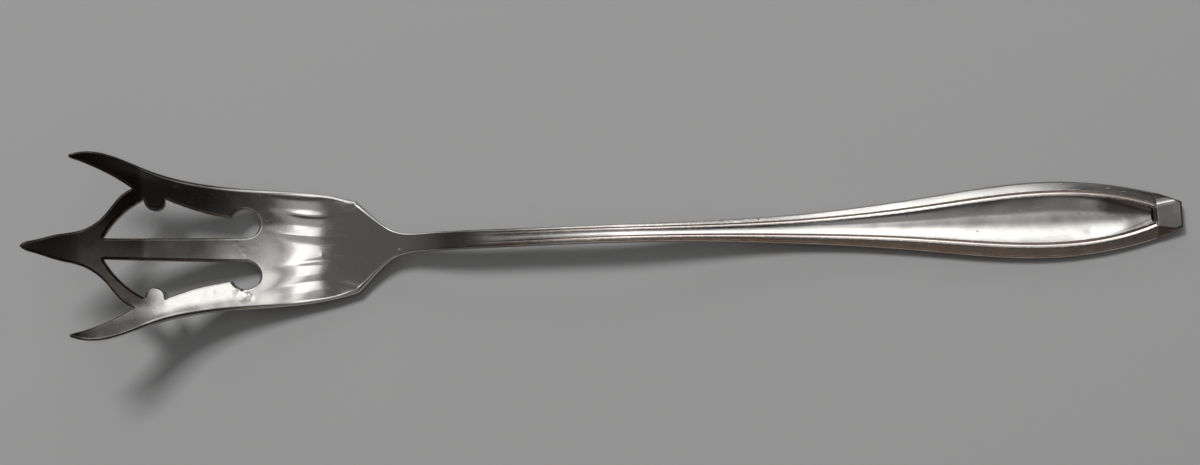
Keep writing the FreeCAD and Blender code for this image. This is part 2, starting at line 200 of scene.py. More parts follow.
def arc_through(first, middle, last, spacing):
    """The round arc through three points."""
    first, middle, last = (np.asarray(point, float) for point in (first, middle, last))
    sides = np.array([middle - first, last - first])
    centre = first + np.linalg.solve(2 * sides, (sides ** 2).sum(1))
    radius = np.hypot(*(first - centre))
    start, through, end = (math.atan2(*(point - centre)[::-1]) for point in (first, middle, last))
    turn = (end - start) % math.tau
    if (through - start) % math.tau > turn:
        turn -= math.tau
    angles = start + turn * np.linspace(0.0, 1.0, max(3, math.ceil(abs(turn) * radius / spacing) + 1))
    return centre + radius * np.column_stack([np.cos(angles), np.sin(angles)])


def round_corner(before, after, radius):
    """Two lines that meet at a corner, joined by a small round of the given radius."""
    way_in = before[-1] - before[-2]
    way_out = after[1] - after[0]
    cross = way_in[0] * way_out[1] - way_in[1] * way_out[0]
    turn = abs(math.atan2(cross, way_in @ way_out))
    cut = radius * math.tan(turn / 2)
    travel_in, travel_out = along_chords(before), along_chords(after)
    kept_in = before[travel_in < travel_in[-1] - cut]
    kept_out = after[travel_out > cut]
    start = [np.interp(travel_in[-1] - cut, travel_in, before[:, axis]) for axis in (0, 1)]
    end = [np.interp(cut, travel_out, after[:, axis]) for axis in (0, 1)]
    start, end, corner = np.array(start), np.array(end), before[-1]
    share = np.linspace(0.0, 1.0, 7)[:, None]
    bend = start * (1 - share) ** 2 + corner * 2 * share * (1 - share) + end * share ** 2
    return np.vstack([kept_in, bend]), np.vstack([bend[-1:], kept_out])


HEAD_SPACING = 0.28
HANDLE_SPACING = 0.7
END_SPACING = 0.2
notch = (NOTCH_AT, NOTCH_WIDTH / 2)
upper_arrow = [
    notch,
    (BRIDGE_END_AT, BRIDGE_END_WIDTH / 2),
    (BRIDGE_AT, BRIDGE_WIDTH / 2),
    (ARROW_AT, ARROW_WIDTH / 2),
    (ARROW_FLANK_AT, ARROW_FLANK_WIDTH / 2),
    (ARROW_FRONT_AT, ARROW_FRONT_WIDTH / 2),
    (POINT_RADIUS / 2, POINT_RADIUS),
]
lower_arrow = [(at, -across) for at, across in reversed(upper_arrow)]
arrow_edge = curve_through(upper_arrow + [(0.0, 0.0)] + lower_arrow, HEAD_SPACING)

tip_centre = np.array([TINE_TIP_AT + TINE_TIP_RADIUS, TINE_TIP_SPREAD / 2])
tip_inner, tip_point, tip_outer = (
    tip_centre + TINE_TIP_RADIUS * np.array([math.cos(math.radians(turn)), math.sin(math.radians(turn))])
    for turn in TINE_TIP_TURNS)
shoulder = (SHOULDER_AT, SHOULDER_WIDTH / 2)
throat_front = (THROAT_FRONT_AT, THROAT_FRONT_WIDTH / 2)
leaving_shoulder = np.subtract(throat_front, shoulder)
leaving_shoulder = leaving_shoulder / np.hypot(*leaving_shoulder)

tine_inner_edge = curve_through([notch, (BLADE_AT, BLADE_WIDTH / 2), tip_inner], HEAD_SPACING)
tine_tip = arc_through(tip_inner, tip_point, tip_outer, TINE_TIP_RADIUS / 4)
head_side = curve_through(
    [tip_outer, (HEAD_WIDTH_AT, HEAD_WIDTH / 2), (ARM_AT, ARM_WIDTH / 2),
     (BOWL_FRONT_AT, BOWL_FRONT_WIDTH / 2), (BOWL_AT, BOWL_WIDTH / 2), shoulder], HEAD_SPACING)
throat_side = curve_through(
    [shoulder, throat_front, (THROAT_AT, THROAT_WIDTH / 2), (NECK_AT, NECK_WIDTH / 2)],
    HEAD_SPACING, directions=(leaving_shoulder, (1.0, 0.0)))
handle_side = curve_through(
    [(at, width / 2) for at, width in zip(handle_places, handle_widths)], HANDLE_SPACING)
end_corner = (LENGTH, END_WIDTH / 2)
end_side = evenly(np.array([(END_SHOULDER_AT, END_SHOULDER_WIDTH / 2), end_corner]), END_SPACING)
end_line = evenly(np.array([end_corner, (LENGTH, 0.0)]), END_SPACING)
head_side, throat_side = round_corner(head_side, throat_side, SHOULDER_ROUND)
handle_side, end_side = round_corner(handle_side, end_side, END_SHOULDER_ROUND)
end_side, end_line = round_corner(end_side, end_line, END_ROUND)

pieces_of_side = [tine_inner_edge, tine_tip, head_side, throat_side, handle_side, end_side, end_line]
upper_side = np.vstack([line[:-1] for line in pieces_of_side] + [end_line[-1:]])
lower_side = upper_side * (1, -1)
outline = np.vstack([arrow_edge[:-1], lower_side[:-1], upper_side[:0:-1]])

# The two long openings beside the middle tine, pierced by a second press. Each has a small round
# bump that stays on the arm near its front, a cusp, and a round lobe at its rear.
bump_front = (21.5, 19.2 / 2)
bump_middle = (23.4, 14.9 / 2)
bump_rear = (25.35, 19.4 / 2)
cusp = (37.4, 12.3 / 2)
lobe_rear = (42.7, 10.4 / 2)
tine_root = (39.6, 4.8 / 2)
slot_front = (14.0, 4.1 / 2)
slot_beside_bridge = (17.9, 14.1 / 2)
slot_beside_arm = (31.0, 15.2 / 2)
upper_slot = np.vstack([
    curve_through([slot_front, slot_beside_bridge, bump_front], HEAD_SPACING)[:-1],
    arc_through(bump_front, bump_middle, bump_rear, HEAD_SPACING)[:-1],
    curve_through([bump_rear, slot_beside_arm, cusp], HEAD_SPACING)[:-1],
    arc_through(cusp, lobe_rear, tine_root, HEAD_SPACING)[:-1],
    evenly(np.array([tine_root, slot_front]), HEAD_SPACING)[:-1],
])
lower_slot = upper_slot[::-1] * (1, -1)
loops = [outline, upper_slot, lower_slot]

# The die's relief: five flutes fan out over the bowl between four low ridges, and on the stem
# and handle the same four lines become the lips of two threads round a hollow panel.
FLUTE_START_AT, FLUTE_END_AT = 42.0, 65.0
FLUTE_DEPTH, FLUTE_FRONT_RUN, FLUTE_REAR_RUN = 0.28, 10.0, 8.0
OUTER_RIDGE_SPREADS = 21.8, 21.8, 17.6, 13.3, 16.4
INNER_RIDGE_SPREADS = 8.4, 8.4, 8.0, 4.8, 6.0
ridge_places = [BEFORE_POINT, bump_middle[0], FLUTE_START_AT, BOWL_REAR_AT, SHOULDER_AT]
outer_ridge = smooth_line(ridge_places, [spread / 2 for spread in OUTER_RIDGE_SPREADS])
inner_ridge = smooth_line(ridge_places, [spread / 2 for spread in INNER_RIDGE_SPREADS])
ARM_DISH_RADIUS, BOWL_DISH_RADIUS = 37.0, 36.0
WALL_LIFT = 0.016
WALL_LIFT_START, WALL_LIFT_END = (12.0, 30.0), (BOWL_REAR_AT - 2.0, SHOULDER_AT + 1.0)
STEM_BORDER, HANDLE_BORDER = 0.9, 2.45
STEM_THREAD, HANDLE_THREAD = 0.5, 0.95
THREAD_START_AT, THREAD_RUN = 84.0, 12.0
THREAD_DEPTH = 0.22
RIDGE_TO_THREAD_RUN = 10.0
CHANNEL_DEPTH, PANEL_DEPTH, PANEL_END_RISE = 0.15, 0.85, 0.05
PANEL_START_AT = SWELL_AT - 10.0
PANEL_END_WIDTH, PANEL_END_AT = 3.4, LENGTH - 5.1
PANEL_END_WALL, END_GROOVE = 0.5, 0.6
BORDER_DROP, BORDER_RUN = 0.95, 20.0
HOLLOW_PAST_EDGE = 1.0
STEM_BELLY, HANDLE_BELLY_LOSS = 0.9, 0.3


def stem_to_handle(at, stem, handle):
    """A size of the cross section that grows from its stem value to its handle value."""
    return stem + (handle - stem) * ramp(at, STEM_MID_AT, WIDEST_AT)


thread_places = np.array([NECK_AT, STEM_MID_AT, SWELL_AT, FLANK_AT, WIDEST_AT, TAPER_AT])
thread_middles = half_width(thread_places) - stem_to_handle(thread_places, STEM_BORDER, HANDLE_BORDER)
thread_line = smooth_line(
    np.append(thread_places, PANEL_END_AT), np.append(thread_middles, PANEL_END_WIDTH / 2))


def lips(at):
    """Distance of the inner and the outer line from the middle."""
    to_stem = ramp(at, SHOULDER_AT, SHOULDER_AT + RIDGE_TO_THREAD_RUN)
    to_end = np.maximum(at - PANEL_END_AT, 0.0) / (LENGTH - PANEL_END_AT)
    middle = thread_line(np.maximum(at, NECK_AT)) + to_end * (END_WIDTH - PANEL_END_WIDTH) / 2
    half_thread = stem_to_handle(at, STEM_THREAD, HANDLE_THREAD) / 2
    inner = (1 - to_stem) * inner_ridge(at) + to_stem * (middle - half_thread)
    outer = (1 - to_stem) * outer_ridge(at) + to_stem * (middle + half_thread)
    return inner, outer


def dish(at):
    """Curvature of the head across its width, gone at the shoulders."""
    at_arms, at_bowl = 1 / ARM_DISH_RADIUS, 1 / BOWL_DISH_RADIUS
    curvature = at_arms + (at_bowl - at_arms) * ramp(at, ARM_AT, BOWL_AT)
    return curvature * (1 - ramp(at, BOWL_REAR_AT, THROAT_FRONT_AT))


def flute_depth(at):
    """How deep the flutes are along the bowl."""
    sinking = ramp(at, FLUTE_START_AT, FLUTE_START_AT + FLUTE_FRONT_RUN)
    return FLUTE_DEPTH * sinking * (1 - ramp(at, FLUTE_END_AT - FLUTE_REAR_RUN, FLUTE_END_AT))


def relief(at, across):
    """Depth of all the relief, and of the flutes alone, below the plain sheet."""
    inner, outer = lips(at)
    aside = np.abs(across)
    edge = half_width(at) + HOLLOW_PAST_EDGE
    in_middle = 1 - (aside / inner) ** 2
    in_thread = np.clip((aside - inner) / (outer - inner), 0.0, 1.0)
    in_border = np.clip((aside - outer) / (edge - outer), 0.0, 1.0)
    beside = 4 * in_thread * (1 - in_thread) + 4 * in_border * (1 - in_border)
    flute = np.where(aside < inner, in_middle, beside)
    thread_end = PANEL_END_AT - END_GROOVE
    past_panel = np.clip((at - thread_end) / END_GROOVE, 0.0, 1.0)
    in_frame = np.maximum(in_thread, past_panel)
    sinking = ramp(at, THREAD_START_AT, THREAD_START_AT + THREAD_RUN)
    thread_depth = stem_to_handle(at, STEM_THREAD, HANDLE_THREAD) / HANDLE_THREAD * THREAD_DEPTH
    thread = thread_depth * sinking * 4 * in_frame * (1 - in_frame)
    to_panel = ramp(at, PANEL_START_AT, WIDEST_AT)
    hollow = PANEL_DEPTH - PANEL_END_RISE * ramp(at, TAPER_AT, PANEL_END_AT)
    channel = CHANNEL_DEPTH * sinking * (1 - to_panel) + hollow * to_panel
    channel = channel * (1 - ramp(at, thread_end - PANEL_END_WALL, thread_end))
    panel = np.where(aside < inner, channel * in_middle, 0.0)
    return np.where(at <= NECK_AT, flute_depth(at) * flute, thread + panel), flute_depth(at) * flute


def wall_lift(at, across):
    """Extra rise of the arms and of the bowl's outer flutes towards the rim."""
    outer = lips(at)[1]
    share = ramp(at, *WALL_LIFT_START) * (1 - ramp(at, *WALL_LIFT_END))
    return WALL_LIFT * share * np.maximum(np.abs(across) - outer, 0.0) ** 2


# The surface is hand polished, so it isn't quite even, and it has met other things in the drawer.
# Each dent is a place along the fork and across it, with its radius and its depth.
DENTS = [
    (38.0, -7.0, 0.45, 0.12), (38.9, -7.9, 0.40, -0.10), (39.5, -8.3, 0.40, 0.13), (40.2, -9.2, 0.45, 0.12),
    (40.9, -9.9, 0.40, -0.08), (39.3, -9.9, 0.55, 0.08), (37.4, -8.8, 0.60, 0.05), (33.9, -8.6, 0.50, 0.03),
    (38.3, 1.2, 0.40, 0.06), (39.3, 0.2, 0.35, 0.05), (39.9, -0.9, 0.35, 0.05), (41.5, 0.6, 0.40, 0.03),
    (27.6, 11.6, 0.45, 0.05), (24.3, -10.6, 0.60, 0.04), (54.6, -1.2, 0.35, 0.03), (58.1, -4.3, 0.55, 0.03),
    (66.8, 0.9, 0.40, 0.05), (206.5, -2.6, 0.70, 0.02), (209.0, 2.2, 0.45, 0.015),
]
UNEVEN, UNEVEN_HANDLE_SHARE = 0.012, 0.35
UNEVEN_START = -5.0, 30.0


def handling(at, across):
    """Depth of the unevenness and of the dents, at each point."""
    waves_along = np.sin(0.71 * at + 0.9 * np.sin(0.83 * across))
    waves_across = 0.8 * np.sin(0.94 * across + 0.37 * at)
    depth = UNEVEN * (waves_along + waves_across)
    on_head = 1 - ramp(at, SHOULDER_AT, NECK_AT)
    depth = depth * ramp(at, *UNEVEN_START) * (UNEVEN_HANDLE_SHARE + (1 - UNEVEN_HANDLE_SHARE) * on_head)
    for dent_at, dent_across, radius, deep in DENTS:
        share = ((at - dent_at) ** 2 + (across - dent_across) ** 2) / radius ** 2
        depth = depth + deep * np.exp(-share)
    return depth


def top_level(at, across):
    """Height of the upper surface before its edges are rounded."""
    outer = lips(at)[1]
    slope = ramp(at, NECK_AT, NECK_AT + BORDER_RUN) * BORDER_DROP / HANDLE_BORDER
    bevel = slope * np.maximum(np.abs(across) - outer, 0.0)
    sheet = underside_height(at) + upright_thickness(at) + dish(at) * across ** 2 / 2
    return sheet + wall_lift(at, across) - bevel - relief(at, across)[0] - handling(at, across)


def low_level(at, across):
    """Height of the underside before its edges are rounded."""
    to_stem = ramp(at, SHOULDER_AT, NECK_AT)
    belly = STEM_BELLY - HANDLE_BELLY_LOSS * ramp(at, STEM_MID_AT, WIDEST_AT)
    curvature = (1 - to_stem) * dish(at) + to_stem * 2 * belly / half_width(at) ** 2
    return underside_height(at) + curvature * across ** 2 / 2 + wall_lift(at, across) - relief(at, across)[1]


HEAD_SOFTNESS, HANDLE_SOFTNESS = 0.25, 0.09


def softened(level, at, across):
    """The same level, with its sharp lines worn to a small round."""
    reach = HANDLE_SOFTNESS + (HEAD_SOFTNESS - HANDLE_SOFTNESS) * (1 - ramp(at, SHOULDER_AT, NECK_AT))
    middle_share, ring_share, ring_points = 0.28, 0.09, 8
    total = middle_share * level(at, across)
    for step in range(ring_points):
        angle = step * math.tau / ring_points
        total = total + ring_share * level(at + reach * math.cos(angle), across + reach * math.sin(angle))
    return total


# The skin of the fork as a mesh. The upper surface and the underside are rows along the fork's
# lines and rings round its edges, and the thin wall of the edge joins the two, so that the metal
# is closed and has its real thickness.
HEAD_ROUND, RIM_ROUND, HANDLE_ROUND = 0.55, 1.0, 0.45
RIM_STRIP, RIM_START, RIM_END_AT = (2.2, 1.2), (17.0, 27.0), 58.0
BACK_ROUND = 0.35
RINGS = 6
RING_CLEARANCE, ROW_CLEARANCE = 0.985, 1.2
ROWS_PAST_EDGE = 0.5
AT_ONCE = 2000


def edge_round(at, across):
    """Radius of the rounded upper edge, which is softest along the rim of the arms and the bowl."""
    to_rim = ramp(half_width(at) - np.abs(across), *RIM_STRIP)
    on_rim = to_rim * ramp(at, *RIM_START) * (1 - ramp(at, RIM_END_AT, NECK_AT))
    plain = HEAD_ROUND + (HANDLE_ROUND - HEAD_ROUND) * ramp(at, THROAT_AT, NECK_AT)
    return plain + (RIM_ROUND - plain) * on_rim


def from_edge(points):
    """The way to each point from the nearest point of the outline or of an opening."""
    starts = np.vstack(loops)
    ends = np.vstack([np.roll(loop, -1, axis=0) for loop in loops])
    ways = ends - starts
    lengths = (ways ** 2).sum(1)
    nearest = np.empty((len(points), 2))
    for first in range(0, len(points), AT_ONCE):
        some = points[first:first + AT_ONCE, None, :] - starts
        share = np.clip((some * ways).sum(2) / lengths, 0.0, 1.0)
        gaps = some - share[:, :, None] * ways
        chosen = (gaps ** 2).sum(2).argmin(1)
        nearest[first:first + AT_ONCE] = gaps[np.arange(len(gaps)), chosen]
    return nearest


def distance_to_edge(points):
    """Distance of each point from the nearest line of the outline or of an opening."""
    return np.hypot(*from_edge(points).T)


def is_metal(points):
    """True for each point inside the outline and outside the openings."""
    crossings = np.zeros(len(points), int)
    for loop in loops:
        following = np.roll(loop, -1, axis=0)
        for first in range(0, len(points), AT_ONCE):
            at, across = points[first:first + AT_ONCE].T[:, :, None]
            spans = (loop[:, 1] > across) != (following[:, 1] > across)
            rise = np.where(following[:, 1] == loop[:, 1], 1.0, following[:, 1] - loop[:, 1])
            meets = loop[:, 0] + (across - loop[:, 1]) / rise * (following[:, 0] - loop[:, 0])
            crossings[first:first + AT_ONCE] += (spans & (at < meets)).sum(1)
    return crossings % 2 == 1


def even(start, end, count):
    """Even steps from start towards end, the end left out."""
    return start + (end - start) * np.arange(count)[:, None] / count


def rows_across(at, soften, middle, thread, border):
    """Distances from the middle where rows of the mesh run, crowded where lines are sharp."""
    inner, outer = lips(at)
    crowd = soften * np.array([-2.0, -1.0, 0.0, 1.0])[:, None]
    past_edge = half_width(at) + ROWS_PAST_EDGE
    rows = [
        even(0.0, inner - 2 * soften, middle),
        inner + crowd,
        even(inner + 2 * soften, outer - 2 * soften, thread),
        outer + crowd,
        even(outer + 2 * soften, past_edge, border),
        past_edge[None],
    ]
    half = np.vstack(rows)
    return np.vstack([-half[:0:-1], half])


# Each stretch has its places along the fork, how close the rows crowd at a line, and how many
# rows lie in the middle, between the lines and outside them.
stretches = [
    (np.arange(0.2, NECK_AT, 0.42), 0.22, 7, 8, 16),
    (np.arange(NECK_AT, SWELL_AT, 0.9), 0.08, 2, 1, 3),
    (np.arange(SWELL_AT, PANEL_END_AT - 1.5, 0.8), 0.08, 9, 1, 5),
    (np.arange(PANEL_END_AT - 1.5, LENGTH, 0.1), 0.08, 8, 1, 7),
]
corners = []
links = []
TOUCHING = 1e-7


def add_line(points, closed=False, keep=None):
    """Adds a line of the mesh, broken where its points aren't kept."""
    keep = np.ones(len(points), bool) if keep is None else keep
    numbers = np.full(len(points), -1)
    numbers[keep] = len(corners) + np.arange(keep.sum())
    corners.extend(points[keep])
    following = np.roll(numbers, -1)
    if not closed:
        following[-1] = -1
    links.extend((a, b) for a, b in zip(numbers, following) if a >= 0 and b >= 0)


for loop in loops:
    add_line(loop, closed=True)
rim_count = len(corners)
inward_ways = []
for loop in loops:
    way = np.roll(loop, -1, axis=0) - np.roll(loop, 1, axis=0)
    inward_ways.append(np.column_stack([-way[:, 1], way[:, 0]]) / np.hypot(*way.T)[:, None])
for ring in range(1, RINGS + 1):
    for loop, inward in zip(loops, inward_ways):
        depth = edge_round(*loop.T) * (1 - math.cos(math.pi / 2 * ring / RINGS))
        inside = loop + inward * depth[:, None]
        add_line(inside, closed=True, keep=distance_to_edge(inside) > depth * RING_CLEARANCE)
for at, soften, middle, thread, border in stretches:
    for row in rows_across(at, soften, middle, thread, border):
        line = np.column_stack([at, row])
        inside = distance_to_edge(line) > edge_round(*line.T) * ROW_CLEARANCE
        add_line(line, keep=is_metal(line) & inside)
sheet_points, _, sheet_faces, sources, _, _ = delaunay_2d_cdt(
    [Vector(point) for point in corners], links, [], 0, TOUCHING)
plan = np.array([tuple(point) for point in sheet_points])
number_of = {source: number for number, members in enumerate(sources) for source in members}
faces = np.array(sheet_faces)
on_rim = np.zeros(len(plan), bool)
on_rim[[number_of[source] for source in range(rim_count)]] = True
doubtful = on_rim[faces].all(1)
kept = np.ones(len(faces), bool)
kept[doubtful] = is_metal(plan[faces[doubtful]].mean(1))
faces = faces[kept]
sides = plan[faces[:, 1:]] - plan[faces[:, :1]]
turned = sides[:, 0, 0] * sides[:, 1, 1] < sides[:, 0, 1] * sides[:, 1, 0]
faces[turned] = faces[turned][:, ::-1]

inward = from_edge(plan)
depth = np.hypot(*inward.T)
inward = inward / np.maximum(depth, 1e-9)[:, None]
rim_numbers = [number_of[source] for source in range(rim_count)]
depth[rim_numbers] = 0.0
inward[rim_numbers] = np.vstack(inward_ways)
at, across = plan.T


def rounded_surface(level, radius, side):
    """Heights and outward directions of the upper (side 1) or lower (side -1) surface."""
    share = np.clip(1 - depth / radius, 0.0, 1.0)
    rest = np.sqrt(1 - share ** 2)
    heights = softened(level, at, across) - side * radius * (1 - rest)
    step = 0.02
    along = (softened(level, at + step, across) - softened(level, at - step, across)) / (2 * step)
    aside = (softened(level, at, across + step) - softened(level, at, across - step)) / (2 * step)
    facing = np.column_stack([-side * rest * along, -side * rest * aside, side * rest])
    facing[:, :2] -= share[:, None] * inward
    return heights, facing


top, facing_up = rounded_surface(top_level, edge_round(at, across), 1)
low, facing_down = rounded_surface(low_level, BACK_ROUND, -1)


def as_points(flat, heights):
    """Points of the fork in metres, with the middle of its length at X 0."""
    return np.column_stack([flat[:, 0] - LENGTH / 2, flat[:, 1], heights]) / 1000


WALL_ROWS = 2
layers = [as_points(plan, top), as_points(plan, low)]
facings = [facing_up, facing_down]
wall_faces = []
used = 2 * len(plan)
first_rim = 0
for loop in loops:
    rim = np.array([number_of[first_rim + step] for step in range(len(loop))])
    first_rim += len(loop)
    rows = [rim]
    for row in range(1, WALL_ROWS):
        share = row / WALL_ROWS
        layers.append(as_points(plan[rim], top[rim] * (1 - share) + low[rim] * share))
        facings.append(facing_up[rim])
        rows.append(used + np.arange(len(rim)))
        used += len(rim)
    rows.append(rim + len(plan))
    for above, below in zip(rows, rows[1:]):
        wall_faces.extend(np.column_stack([above, below, np.roll(below, -1), np.roll(above, -1)]).tolist())
skin = bpy.data.meshes.new("salad_fork_skin")
skin.from_pydata(np.vstack(layers), [], faces.tolist() + (faces[:, ::-1] + len(plan)).tolist() + wall_faces)
skin.update()
skin.shade_smooth()
facings = np.vstack(facings)
skin.normals_split_custom_set_from_vertices(facings / np.linalg.norm(facings, axis=1)[:, None])
fork = bpy.data.objects.new("salad_fork_metal", skin)
bpy.context.scene.collection.objects.link(fork)

# The finish is silver plate over nickel silver, polished bright, then used: fine scratches run along the
# fork, and on the edges the plate is rubbed thin, so the warmer metal under it shows. Near-black painted
# shade darkens the metal where it mirrors dark surroundings: on the tines, the upper arm, a strip of the
# lower arm, the front of the stem, the handle's panel, its upper border and its end block. The lips of the
# threads get painted shade, the threads a painted pinkish highlight, and the lower border a painted brown
# reflection.
# Shares of near-black painted shade, which stands for dark surroundings mirrored by the metal, and of rubbed
# plate.
UNDERSIDE_SHADE, WALL_SHADE = 0.25, 0.35
UNDERSIDE_WEAR, WALL_WEAR = 0.3, 0.7
POINT_SHADE, UPPER_SHADE, LOWER_TINE_SHADE, LOWER_ARM_SHADE = 0.96, 0.87, 0.8, 0.5
STEM_SHADE, UPPER_BORDER_SHADE, PANEL_SHADE, PANEL_END_SHADE, BLOCK_SHADE = 0.75, 0.45, 0.66, 0.76, 0.8
# The warm colour added on the lower side of the handle's edges is a painted brown reflection.
TOP_WEAR, LOWER_HANDLE_REFLECTION = 0.3, 0.5
LIP_WIDTH, BLOCK_HIGHLIGHT_WIDTH = 0.11, 0.16
FAR = 3.0

# Each patch of painted shade or painted reflection, and the stem's lines, comes or goes between two
# places along the fork, or two distances across it.
POINT_FADE, TIP_FADE = (20.5, 26.5), (10.0, 14.0)
LOWER_TINE_SIDE, LOWER_TINE_FADE = (10.5, 12.0), (19.0, 29.0)
UPPER_SHADE_SIDE, UPPER_SHADE_FADE = (-4.0, -2.5), (31.0, 47.0)
LOWER_ARM_STRIP, LOWER_ARM_FADE = (2.8, 1.4), (35.0, 44.0)
STEM_SHADE_START, STEM_SHADE_FADE = (70.0, 82.0), (88.0, 110.0)
STEM_LINES_FADE = SWELL_AT - 12.0, SWELL_AT + 14.0
PANEL_SHADE_SHIFT, PANEL_SHADE_SPREAD, PANEL_SHADE_START = 0.05, 0.34, (148.0, 172.0)
PANEL_END_SLANT, PANEL_END_SIDE, PANEL_END_START = 5.0, (-1.0, 1.5), (211.5, 215.5)
UPPER_BORDER_STRIP, UPPER_BORDER_START = (0.7, 1.6), (125.0, 160.0)
BROWN_STRIP, BROWN_START, BROWN_FADE, BROWN_LOSS = 0.5, (STEM_MID_AT - 20.0, SWELL_AT), (204.0, 214.0), 0.65
LINES_START = THREAD_START_AT - 6.0, THREAD_START_AT + THREAD_RUN


def add_mask(name, values):
    """A value for every point of the skin, which the material reads by its name."""
    mask = skin.attributes.new(name, "FLOAT", "POINT")
    mask.data.foreach_set("value", values.astype(np.float32))


inner, outer = lips(at)
aside = np.abs(across)
in_thread = np.clip((aside - inner) / (outer - inner), 0.0, 1.0)
threads_begin = ramp(at, *LINES_START)
on_block = at >= PANEL_END_AT
# The threads get a painted pinkish highlight.
thread_mask = 4 * in_thread * (1 - in_thread) * threads_begin * ~on_block
# Painted brown reflection on the lower border of the stem and handle, whose bevel mirrors the brown side of
# the room; it fades near the end.
lower_border = np.clip((-across - outer) / BROWN_STRIP, 0.0, 1.0) * ramp(at, *BROWN_START)
lower_border = lower_border * (1 - BROWN_LOSS * ramp(at, *BROWN_FADE))
# Painted shade along the lips of the threads and across the groove at the panel's end.
lip_gap = np.minimum(np.abs(aside - inner), np.abs(aside - outer))
end_gap = np.where(aside < inner + 0.2, np.abs(at - PANEL_END_AT + END_GROOVE / 2) / 2, FAR)
lip_gap = np.minimum(np.where(on_block, FAR, lip_gap), end_gap)
lip_mask = np.exp(-(lip_gap / LIP_WIDTH) ** 2) * threads_begin
# Painted shade, near-black where the polished metal mirrors dark surroundings: most on the tines, then on
# the upper arm, a strip along the lower arm, the front of the stem, the middle and end of the handle's
# panel, its upper border and the end block.
on_lower_tine = ramp(-across, *LOWER_TINE_SIDE)
point_shade = POINT_SHADE * (1 - ramp(at, *POINT_FADE))
tip_shade = POINT_SHADE * (1 - ramp(at, *TIP_FADE))
lower_tine_shade = np.maximum(tip_shade, LOWER_TINE_SHADE * (1 - ramp(at, *LOWER_TINE_FADE)))
painted_shade_mask = point_shade * (1 - on_lower_tine) + lower_tine_shade * on_lower_tine
upper_shade = UPPER_SHADE * (1 - ramp(at, *UPPER_SHADE_FADE)) * ramp(across, *UPPER_SHADE_SIDE)
painted_shade_mask = np.maximum(painted_shade_mask, upper_shade)
lower_strip = ramp(half_width(at) - aside, *LOWER_ARM_STRIP) * (across < 0)
lower_strip = lower_strip * (1 - ramp(at, *LOWER_ARM_FADE))
painted_shade_mask = np.maximum(painted_shade_mask, LOWER_ARM_SHADE * lower_strip)
panel_middle = np.exp(-((across / inner + PANEL_SHADE_SHIFT) / PANEL_SHADE_SPREAD) ** 2)
panel_middle = panel_middle * ramp(at, *PANEL_SHADE_START) * ~on_block
painted_shade_mask = np.maximum(painted_shade_mask, PANEL_SHADE * panel_middle)
upper_border = ramp(across - outer, *UPPER_BORDER_STRIP) * ramp(at, *UPPER_BORDER_START)
painted_shade_mask = np.maximum(painted_shade_mask, UPPER_BORDER_SHADE * upper_border)
painted_shade_mask = painted_shade_mask + STEM_SHADE * ramp(at, *STEM_SHADE_START) * (1 - ramp(at, *STEM_SHADE_FADE))
slanted = at + PANEL_END_SLANT * ramp(across, *PANEL_END_SIDE)
panel_end = ramp(slanted, *PANEL_END_START) * ~on_block * (aside < inner)
painted_shade_mask = np.maximum(painted_shade_mask, PANEL_END_SHADE * panel_end)
# On the end block the painted shade spares a thin line along its upper edge, left as a painted highlight.
block_highlight = np.exp(-((across - outer) / BLOCK_HIGHLIGHT_WIDTH) ** 2)
painted_shade_mask = painted_shade_mask + BLOCK_SHADE * on_block * (1 - block_highlight)
# Rubbed plate along the edges, with more warm colour on the lower side of the stem and handle as a painted
# brown reflection.
wear_and_reflection_mask = TOP_WEAR + LOWER_HANDLE_REFLECTION * ramp(at, NECK_AT, SWELL_AT) * (across < 0)
stem_mask = ramp(at, NECK_AT, THREAD_START_AT) * (1 - ramp(at, *STEM_LINES_FADE))
edge_gap = np.minimum(depth, FAR)
wall_count = len(facings) - 2 * len(plan)


def on_skin(above, below, walls):
    """Values of the upper surface, the underside and the walls, in the order of the skin's points."""
    beneath = np.broadcast_to(below, len(plan))
    return np.concatenate([above, beneath, np.broadcast_to(walls, wall_count)])


add_mask("thread", on_skin(thread_mask, 0.0, 0.0))
add_mask("lip", on_skin(lip_mask, 0.0, 0.0))
add_mask("border", on_skin(lower_border, 0.0, 0.0))
# The painted shade also lies lightly on the underside and on the edge walls.
add_mask("painted_shade", on_skin(np.clip(painted_shade_mask, 0, 1), UNDERSIDE_SHADE, WALL_SHADE))
add_mask("edge_gap", on_skin(edge_gap, edge_gap, 0.0))
add_mask("worn", on_skin(wear_and_reflection_mask, UNDERSIDE_WEAR, WALL_WEAR))
add_mask("stem", on_skin(stem_mask, 0.0, 0.0))

SILVER = (0.76, 0.74, 0.715, 1.0)
# Near-black colour of the painted shade.
PAINTED_SHADE = (0.024, 0.02, 0.016, 1.0)
WARM_METAL = (0.62, 0.36, 0.22, 1.0)
# Pinkish colour of the painted highlight in the threads.
THREAD_HIGHLIGHT = (0.93, 0.77, 0.70, 1.0)
DULL_SILVER = (0.64, 0.62, 0.57, 1.0)
# Brown of the painted reflection on the lower border.
BROWN_REFLECTION = (0.46, 0.31, 0.21, 1.0)
COPPER_SPECK = (0.95, 0.62, 0.42, 1.0)
# Dark brown of the painted shade along the lips.
LIP_SHADE = (0.075, 0.05, 0.035, 1.0)
PIT_DIRT = (0.06, 0.055, 0.05, 1.0)
LINE_HEIGHT, STEM_LINE_HEIGHT, GRAIN_HEIGHT = 0.0009, 0.011, 0.002
SCRATCH_DEPTH, PIT_DEPTH = 0.0012, 0.006
LINE_ROUGHNESS, SCRATCH_ROUGHNESS, PAINTED_SHADE_ROUGHNESS, BORDER_ROUGHNESS = 0.06, 0.12, 0.08, 0.1
silver = bpy.data.materials.new("silver_plate")
silver.use_nodes = True
plate = silver.node_tree
surface = plate.nodes["Principled BSDF"]


